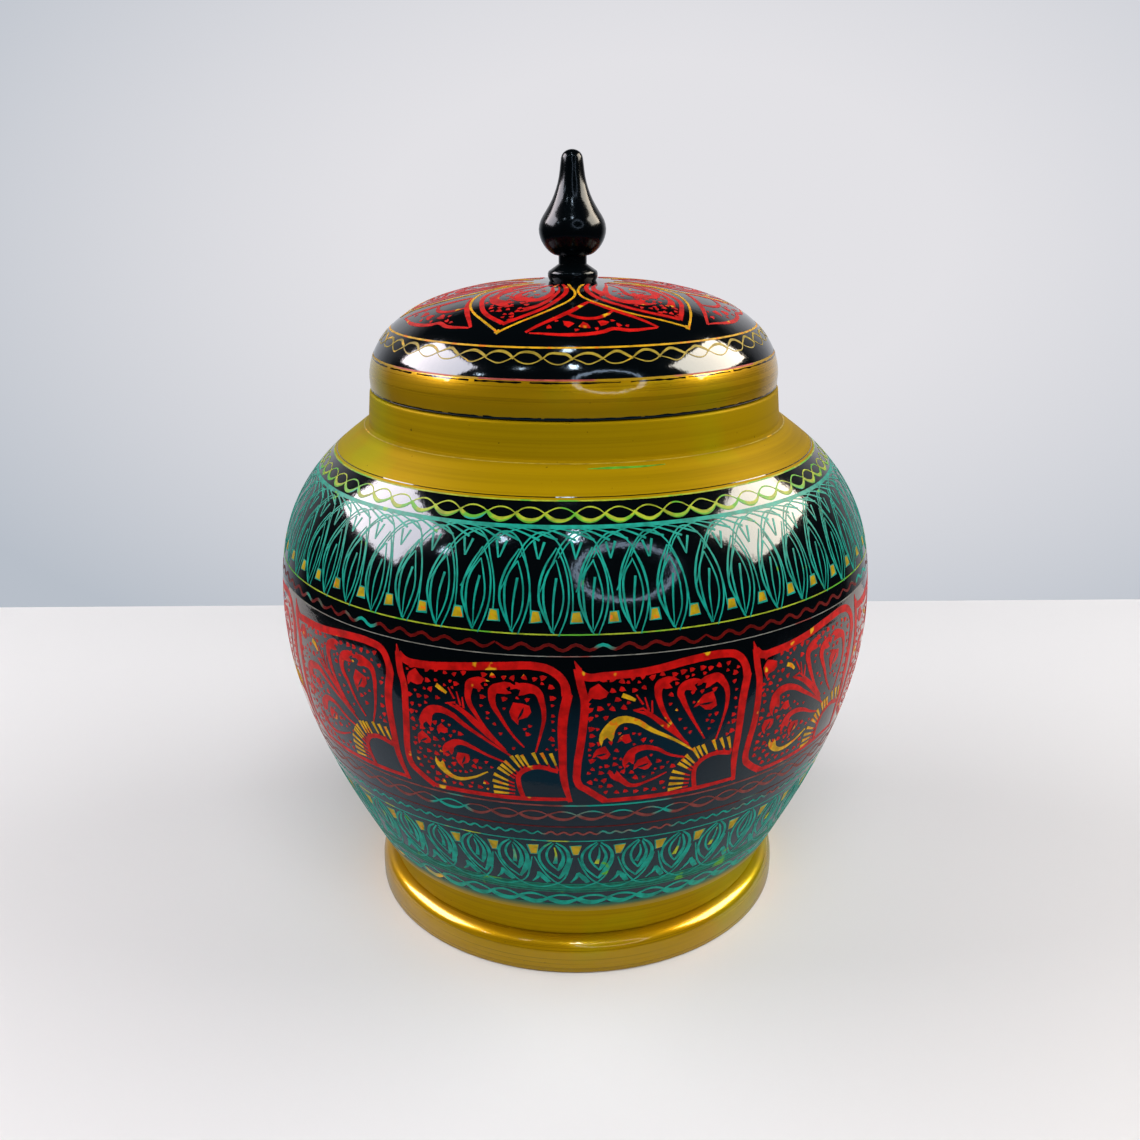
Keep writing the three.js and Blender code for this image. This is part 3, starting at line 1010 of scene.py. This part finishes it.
class JAR_OT_line_bands(bpy.types.Operator):
    """Draws the turned lines, chains and wavy lines round the jar and the lid"""

    bl_idname = "jar.line_bands"
    bl_label = "Line Bands"

    def execute(self, context):
        sizes = context.scene.jar_sizes
        edge, foot = sizes.shoulder_gold_edge / MM, sizes.foot_gold_edge / MM
        jar, lid = (flank, "jar"), (dome, "lid")
        # Each line: its height and width in millimetres, its finish, and what it is cut in
        for name, height, width, finish, (line, body) in (
            ("shoulder_edge_line", edge, 0.35, "lime", jar),
            ("shoulder_dark_line", edge + 0.6, 0.22, "black", jar),
            ("leaf_top_line", sizes.leaf_top / MM, 0.95, "teal", jar),
            ("leaf_foot_line", sizes.leaf_foot / MM, 0.3, "lime", jar),
            ("joint_line", 98.7, 0.2, "pale", jar),
            ("panel_foot_line", 60.1, 0.45, "brown", jar),
            ("low_red_line", 53.2, 0.35, "zigzag_red", jar),
            ("low_leaf_top_line", 48.2, 0.35, "teal_lime", jar),
            ("low_leaf_foot_line_1", 31.3, 0.6, "teal_streaked", jar),
            ("low_leaf_foot_line_2", 30.2, 1.4, "teal_streaked", jar),
            ("low_leaf_foot_line_3", 29.0, 0.9, "teal_streaked", jar),
            ("low_leaf_foot_line_4", 28.1, 0.4, "teal_streaked", jar),
            ("foot_smear", foot, 4, "smeared", jar),
            ("lid_petal_line", 159.6, 0.5, "yellow", lid),
            ("lid_edge_line", 153.1, 0.4, "rose", lid),
        ):
            turned_line(name, line, height * MM, width, finish, body)
        high, low = 126.5 * MM, 57.0 * MM
        chain("shoulder_chain_green", flank, high, 64, 3.3, 0.5, "green", "jar", 2, under=True)
        chain("shoulder_chain", flank, high, 64, 3.3, 0.62, "lime", "jar", 2)
        chain("low_chain", flank, low, 70, 2.75, 0.7, "brown", "jar", 3)
        chain("foot_chain", flank, 25.0 * MM, 52, 3.9, 1.6, "teal_foot", "jar", 4)
        chain("lid_chain", dome, 157.6 * MM, 46, 3.1, 0.55, "olive", "lid", 5, side=-1, slip=0.22)
        waves("panel_top_wave", flank, 100.7 * MM, 86, 1.3, 0.7, "zigzag_red", "jar", 6)
        waves("low_wave", flank, 51.0 * MM, 150, 0.9, 0.5, "teal_brown", "jar", 7)
        broken_line("lid_black_line", dome, 152.55 * MM, 0.4, "black", "lid", 8)
        # Painted shade: a broken black line just over the lid's lower edge, for the shade in the
        # joint
        broken_line("lid_seat_wear", dome, RIM + 0.75 * MM, 0.3, "black", "lid", 9)
        # Painted highlight: a thin olive line where the rounded step at the foot of the neck catches
        # the light
        turned_line("neck_step_line", flank, 135.05 * MM, 0.3, "olive", "jar")
        smear = Drawing("shoulder_green_smear")
        smear.stroke(((3, 0, 0.2), (8, 0.1), (15, 0, 0.7), (21, 0.1, 0.2)), 0.7)
        smear.wrap(band(flank, 134.2 * MM), "green", "jar")
        return {"FINISHED"}


class JAR_OT_leaf_bands(bpy.types.Operator):
    """Draws the tall leaves of the shoulder and the short leaves above the foot"""

    bl_idname = "jar.leaf_bands"
    bl_label = "Leaf Bands"

    def execute(self, context):
        self.tall_leaves(context.scene.jar_sizes)
        self.short_leaves(context.scene.jar_sizes)
        return {"FINISHED"}

    def tall_leaves(self, sizes):
        rng = random.Random(21)
        radius = flank.radius((sizes.leaf_foot + sizes.leaf_top) / 2)
        rise = (flank.along(sizes.leaf_top) - flank.along(sizes.leaf_foot)) / MM
        pitch = pitch_of(radius, sizes.leaf_count)
        leaves = Drawing("tall_leaves")
        rims = Drawing("tall_leaf_dot_rims", 1.6 * RELIEF)
        dots = Drawing("tall_leaf_dots", 1.8 * RELIEF)
        low, high = 0.11 * rise, 0.205 * rise
        foot, head = 0.13 * pitch, 0.08 * pitch
        for i in range(sizes.leaf_count):
            x = (i - sizes.leaf_count / 2 + 0.5) * pitch + rng.uniform(-0.3, 0.3)
            tall = rise * rng.uniform(0.97, 1.01)
            leaves.strokes(TALL_LEAF, rng, 0.13, x, 0, pitch, tall)
            x += pitch / 2 + rng.uniform(-0.3, 0.3)
            leaves.strokes(TALL_GAP, rng, 0.15, x, 0, pitch, rise)
            corners = ((x - foot, low), (x + foot, low + 0.2), (x + head, high), (x - head, high))
            dot(rims, dots, corners, 0.28, rng, 0.14)
        surface = band(flank, sizes.leaf_foot, radius)
        leaves.wrap(surface, "teal", "jar")
        rims.wrap(surface, "teal", "jar")
        dots.wrap(surface, "dot", "jar")

    def short_leaves(self, sizes):
        rng = random.Random(22)
        radius = 69 * MM
        pitch = pitch_of(radius, sizes.low_leaf_count)
        leaves = Drawing("short_leaves")
        veins = Drawing("short_leaf_veins", 1.7 * RELIEF)
        rims = Drawing("short_leaf_dot_rims", 1.6 * RELIEF)
        dots = Drawing("short_leaf_dots", 1.8 * RELIEF)
        for i in range(sizes.low_leaf_count):
            x = (i - sizes.low_leaf_count / 2 + 0.5) * pitch + rng.uniform(-0.3, 0.3)
            leaves.strokes(SHORT_LEAF, rng, 0.13, x, 0, pitch)
            veins.strokes(((0.55, SHORT_VEIN),), rng, 0.13, x, 0, pitch)
            x += pitch / 2
            leaves.strokes(SHORT_GAP, rng, 0.15, x, 0, pitch)
            dot(rims, dots, laid(SHORT_DOT, x), 0.25, rng, 0.16)
        surface = band(flank, sizes.low_leaf_foot, radius)
        leaves.wrap(surface, "teal", "jar")
        veins.wrap(surface, "teal_lime", "jar")
        rims.wrap(surface, "teal", "jar")
        dots.wrap(surface, "dot", "jar")


class JAR_OT_belly_panels(bpy.types.Operator):
    """Draws the red panels of the belly, each with its sun, rays, feathers and chips"""

    bl_idname = "jar.belly_panels"
    bl_label = "Belly Panels"

    def execute(self, context):
        sizes = context.scene.jar_sizes
        rng = random.Random(31)
        radius = 79.2 * MM
        pitch = pitch_of(radius, sizes.panel_count)
        # The tables are drawn for panels 41.5 mm apart, and are laid a little wider
        wide = 1.037 * pitch / 41.5
        red = Drawing("panel_red")
        rays = Drawing("panel_yellow", 1.8 * RELIEF)
        eyes = Drawing("panel_eyes", 1.8 * RELIEF)
        for k in range(sizes.panel_count):
            left = (k - sizes.panel_count // 2) * pitch + 0.55
            taken = self.figures(k, (red, rays, eyes), left, wide, rng)
            self.chips(red, left, wide, taken, rng)
        surface = band(flank, sizes.panel_foot, radius)
        red.wrap(surface, "red", "jar")
        rays.wrap(surface, "yellow", "jar")
        eyes.wrap(surface, "black", "jar")
        return {"FINISHED"}

    def figures(self, k, drawings, left, wide, rng):
        """Draws a panel's frame, sun, rays, feathers and buds, and gives the places they take."""
        red, rays, eyes = drawings
        shift = (rng.uniform(-0.3, 0.3), rng.uniform(-0.3, 0.3))
        place = (left + shift[0], shift[1], wide)
        red.strokes(PANEL_FRAME, rng, 0.2, left, 0, wide)
        taken = []

        def draw(drawing, outline, width, slip=0.2):
            points = by_hand(laid(outline, *place), rng, slip)
            drawing.stroke(points, width)
            taken.extend((spot, 0.5 * width) for spot in dotted(points))

        draw(red, PANEL_SUN, 1.15)
        for inner, outer in PANEL_RAYS:
            break_at = tuple(Vector(inner).lerp(Vector(outer), 0.3))
            draw(red, ((*inner, 0.8), (*break_at, 0.8)), 0.55, 0.08)
            draw(rays, ((*break_at, 0.5), (*outer, 1)), 0.85, 0.08)
        for n, (head, outline) in enumerate(PANEL_FEATHERS):
            golden = (n == 2 and k % 3 == 0) or (n == 0 and k % 2 == 1)
            points = by_hand(laid(outline, *place), rng, 0.3)
            feather(rays if golden else red, points, head)
            taken.extend((spot, 0.5 * head) for spot in dotted(points))
        for width, outline in PANEL_STALKS:
            draw(red, outline, width)
        draw(rays, PANEL_SEED, 1.0)
        for u, v, size in PANEL_BUDS:
            x, y = left + shift[0] + u * wide, shift[1] + v
            turn = rng.uniform(-0.7, 0.7)
            red.chip(by_hand(laid(turned_by(BUD, turn), x, y, size, size), rng, 0.15))
            if size > 1.8 and u > 4.5:
                eyes.stroke(laid(turned_by(BUD_EYE, turn), x, y, size, size), 0.42)
            taken.append((Vector((x, y)), size))
        return taken

    def chips(self, drawing, left, wide, taken, rng):
        """Fills the ground of a panel with chips: rows in the frame, a grid, and then the gaps."""
        rows = [(2.9 + 2.15 * i, 31.1 + 0.06 * i) for i in range(15)]
        rows += [(34.6, 29.6 - 2.1 * i) for i in range(9)]
        rows += [(2.7, 28.6 - 2.15 * i) for i in range(12)]
        rows += [(6.2 + 2.2 * i, 1.9) for i in range(7)]
        for row in range(13):
            rows += [(4.6 + 2.35 * i + 1.1 * (row % 2), 3.6 + 2.1 * row) for i in range(13)]
        large = len(rows)
        for row in range(24):
            rows += [(2.4 + 1.3 * i, 1.8 + 1.25 * row) for i in range(26)]
        sun = Vector((left + 32.5 * wide, 1))
        for n, (u, v) in enumerate(rows):
            size = rng.uniform(0.66, 0.95) if n < large else rng.uniform(0.45, 0.6)
            x = left + (u + rng.uniform(-0.35, 0.35)) * wide
            spot = Vector((x, v + rng.uniform(-0.35, 0.35)))
            turn = rng.gauss(0.1, 0.4)
            # None in the sun and its rays, or past the cut corner
            if (spot - sun).length < 12.8 or spot.y < 6.3 - 0.9 * u:
                continue
            if is_free(spot, taken, size):
                wedge(drawing, spot.x, spot.y, size, turn)
                taken.append((spot, 0.8))


class JAR_OT_lid_petals(bpy.types.Operator):
    """Draws the petals and triangles on the lid"""

    bl_idname = "jar.lid_petals"
    bl_label = "Lid Petals"

    def execute(self, context):
        sizes = context.scene.jar_sizes
        rng = random.Random(41)
        red = Drawing("lid_red")
        outlines = Drawing("lid_yellow", 1.8 * RELIEF)
        for k in range(sizes.petal_count):
            tip = -23 + 360 / sizes.petal_count * k
            for outline in (PETAL_LEFT, PETAL_RIGHT):
                outlines.stroke(by_hand(from_tip(tip, outline), rng, 0.25), 0.6)
            outlines.stroke(from_tip(tip, ((-0.6, 45.2), (0.6, 45.8))), 1.4)
            for outline in (PETAL_INNER_LEFT, PETAL_INNER_RIGHT):
                red.stroke(by_hand(from_tip(tip, outline), rng, 0.25), 1.2, end=0.6)
            rim = from_tip(tip, PETAL_INNER_LEFT + PETAL_INNER_RIGHT[:0:-1])
            taken = [(place, 0.65) for place in dotted(rim)]
            for head, outline in PETAL_FEATHERS:
                points = by_hand(from_tip(tip - 1, outline), rng, 0.25)
                feather(red, points, head)
                taken.extend((place, 0.4 * head) for place in dotted(points))
            self.chips(red, rim, taken, rng)
            middle = tip + 180 / sizes.petal_count
            for width, outline in TRIANGLE_SIDES:
                red.stroke(by_hand(from_tip(middle, outline), rng, 0.2), width)
            for turn, reach, size in TRIANGLE_CHIPS:
                x, y = from_tip(middle, ((turn, reach),))[0]
                wedge(red, x, y, size, rng.uniform(0, 6))
        surface = crown(dome)
        red.wrap(surface, "red", "lid")
        outlines.wrap(surface, "yellow", "lid")
        return {"FINISHED"}

    def chips(self, drawing, rim, taken, rng):
        """Fills a petal with chips from a loose grid over the whole lid."""
        for row in range(60):
            for column in range(60):
                x = -50 + 1.7 * column + rng.uniform(-0.7, 0.7)
                y = -50 + 1.7 * row + rng.uniform(-0.7, 0.7)
                size = rng.uniform(0.6, 1)
                turn = rng.uniform(0, 6)
                spot = Vector((x, y))
                if spot.length < 13 or not inside(rim, x, y):
                    continue
                if is_free(spot, taken, 0.75 * size):
                    wedge(drawing, x, y, size, turn)
                    taken.append((spot, 0.7 * size))


class JAR_OT_stage(bpy.types.Operator):
    """Sets the pale table, the wall, the lamps and the photograph's camera"""

    bl_idname = "jar.stage"
    bl_label = "Stage"

    def execute(self, context):
        self.table()
        self.room(context.scene)
        self.lamps()
        self.ring_lamp()
        self.camera(context.scene)
        context.scene.view_settings.view_transform = "Standard"
        return {"FINISHED"}

    def table(self):
        """A white board, 333 mm deep, whose edges show in the photograph and in the gloss."""
        shape = bmesh.new()
        bmesh.ops.create_cube(shape, size=1)
        bmesh.ops.scale(shape, verts=shape.verts, vec=(0.7, 0.333, 0.02))
        bmesh.ops.translate(shape, verts=shape.verts, vec=(0, 0.0465, -0.01))
        table = new_object("table", mesh_of("table", shape))
        table.data.materials.append(new_material("table_white_paint", painted_board))

    def room(self, scene):
        """A pale wall behind the jar, and a dim room in front of it with a blue floor.

        The wall is there for every ray, so that the lacquer shows it too. The rest of the room
        is pale for the camera alone, as it would grey the black lacquer.
        """
        world = bpy.data.worlds.new("wall_and_room")
        scene.world = world
        world.use_nodes = True
        world.node_tree.nodes.clear()
        add = partial(add_node, world.node_tree)
        way = add("TexCoord").node.outputs["Generated"]
        side, depth, height = add("SeparateXYZ", way).node.outputs
        camera = add("LightPath").node.outputs["Is Camera Ray"]
        behind = add("MapRange", depth, From_Min=0.5, From_Max=0.85)
        below = add("MapRange", height, From_Min=0.55, From_Max=0.4)
        wall = add("Math", behind, below, operation="MULTIPLY")
        seen = add("Math", wall, camera, operation="MAXIMUM")
        # In the gloss the wall is lighter above and to the right. The camera sees a wide round
        # pool of light on it, a little to the right of the jar
        slope = add("Math", side, 0.333, height, operation="MULTIPLY_ADD")
        shade = add("MapRange", slope, From_Min=-0.49, From_Max=0.23)
        pool = add("Mapping", way, Location=(-0.1, 0, 0.115), Scale=(1.41, 0, 2.3))
        fall = add("VectorMath", pool, pool, operation="DOT_PRODUCT")
        lit = add("MapRange", fall, From_Min=0.81, From_Max=0.11)
        light = add("Mix", camera, shade, lit, data_type="FLOAT")
        tone = add("Mix", light, linear("#B8BFC9"), scene.jar_colours.wall, data_type="RGBA")
        floor = add("MapRange", height, From_Min=-0.36, From_Max=-0.62)
        dim = add("Mix", floor, linear("#1C1E22"), linear("#5CA4C4"), data_type="RGBA")
        colour = add("Mix", seen, dim, tone, data_type="RGBA")
        add("OutputWorld", add("Background", colour, Strength=1))

    def lamps(self):
        """Two softboxes at the sides, a soft light from the front and above, and small bulbs.

        A lamp shows in the gloss or lights the coats, one or the other, so that the lacquer can
        mirror the bright fronts of the softboxes at a plain level of light.
        """
        for name, place, size, power, tint, seen in (
            ("softbox_left", (-0.9, 0.065, 0.75), (0.82, 0.49), 7.5, "#FFFFFF", "diffuse"),
            ("softbox_right", (0.9, 0.065, 0.75), (0.82, 0.49), 7.5, "#FFFFFF", "diffuse"),
            ("front_fill", (0.15, -1.0, 1.7), (1.0, 1.0), 16, "#FFFFFF", "diffuse"),
            ("front_low", (0.1, -1.2, 0.3), (0.9, 0.5), 5.5, "#FFFFFF", "diffuse"),
            ("softbox_left_front", (-0.82, 0.06, 0.69), (0.75, 0.45), 23, "#FFEEEC", "gloss"),
            ("softbox_right_front", (0.82, 0.06, 0.69), (0.75, 0.45), 26, "#FFEAD0", "gloss"),
            ("bulb_top", (-0.03, -0.14, 1.0), (0.05, 0.09), 0.5, "#F4FBFF", "gloss"),
            ("bulb_front", (0.0, -0.52, 0.92), (0.05, 0.09), 1.0, "#F4FBFF", "gloss"),
            ("bulb_left", (-0.38, -0.5, 0.9), (0.05, 0.05), 0.25, "#F4FBFF", "gloss"),
            ("bulb_far_left", (-0.66, -0.42, 0.7), (0.05, 0.05), 0.25, "#F4FBFF", "gloss"),
        ):
            lamp = bpy.data.lights.new(name, "AREA")
            lamp.shape = "RECTANGLE"
            lamp.size, lamp.size_y = size
            lamp.energy = power
            lamp.color = linear(tint)[:3]
            holder = new_object(name, lamp)
            holder.location = place
            aim = Vector((0, 0, 0.12)) - Vector(place)
            holder.rotation_euler = aim.to_track_quat("-Z", "Y").to_euler()
            holder.visible_camera = False
            holder.visible_glossy = seen == "gloss"
            holder.visible_diffuse = seen == "diffuse"

    def ring_lamp(self):
        """The photographer's ring light, which shows in the gloss alone."""
        shape = bmesh.new()
        bmesh.ops.create_circle(shape, segments=48, radius=0.195)
        rim = bmesh.ops.extrude_edge_only(shape, edges=shape.edges[:])["geom"]
        outer = [v for v in rim if isinstance(v, bmesh.types.BMVert)]
        bmesh.ops.scale(shape, verts=outer, vec=(1.14, 1.14, 1))
        place = Vector((0.205, -0.56, 0.5))
        aim = Vector((0.03, -0.07, 0.115)) - place
        facing = aim.to_track_quat("-Z", "Y").to_matrix().to_4x4()
        matrix = Matrix.Translation(place) @ facing
        bmesh.ops.transform(shape, matrix=matrix, verts=shape.verts)
        lamp = new_object("ring_lamp", mesh_of("ring_lamp", shape))
        lamp.data.materials.append(new_material("ring_lamp_frosted_plastic", frosted_plastic))
        lamp.visible_camera = False
        lamp.visible_diffuse = False
        lamp.visible_shadow = False

    def camera(self, scene):
        """The camera, where it stood in the photograph."""
        lens = bpy.data.cameras.new("photo_camera")
        lens.lens = CAMERA_LENS
        lens.sensor_width = CAMERA_FILM
        lens.sensor_fit = "HORIZONTAL"
        lens.clip_start = 0.01
        scene.camera = new_object("photo_camera", lens)
        scene.camera.matrix_world = (
            Matrix.Translation(CAMERA_PLACE)
            @ Matrix.Rotation(CAMERA_TURN, 4, "Z")
            @ Matrix.Rotation(math.pi / 2 - CAMERA_TILT, 4, "X")
            @ Matrix.Rotation(CAMERA_ROLL, 4, "Z")
        )


class JAR_PT_builder(bpy.types.Panel):
    """Lists the steps that build the jar"""

    bl_label = "Lacquered Jar"
    bl_idname = "JAR_PT_builder"
    bl_space_type = "VIEW_3D"
    bl_region_type = "UI"
    bl_category = "Lacquered Jar"

    def draw(self, context):
        for operator in OPERATORS:
            self.layout.operator(operator.bl_idname)


OPERATORS = (
    JAR_OT_turned_wood,
    JAR_OT_line_bands,
    JAR_OT_leaf_bands,
    JAR_OT_belly_panels,
    JAR_OT_lid_petals,
    JAR_OT_stage,
)


def register():
    for kind in (JarSizes, JarColours, *OPERATORS, JAR_PT_builder):
        bpy.utils.register_class(kind)
    bpy.types.Scene.jar_sizes = bpy.props.PointerProperty(type=JarSizes)
    bpy.types.Scene.jar_colours = bpy.props.PointerProperty(type=JarColours)


def unregister():
    del bpy.types.Scene.jar_colours
    del bpy.types.Scene.jar_sizes
    for kind in (JAR_PT_builder, *reversed(OPERATORS), JarColours, JarSizes):
        bpy.utils.unregister_class(kind)


def main():
    register()
    bpy.ops.jar.turned_wood()
    bpy.ops.jar.line_bands()
    bpy.ops.jar.leaf_bands()
    bpy.ops.jar.belly_panels()
    bpy.ops.jar.lid_petals()
    bpy.ops.jar.stage()


if __name__ == "__main__":
    main()
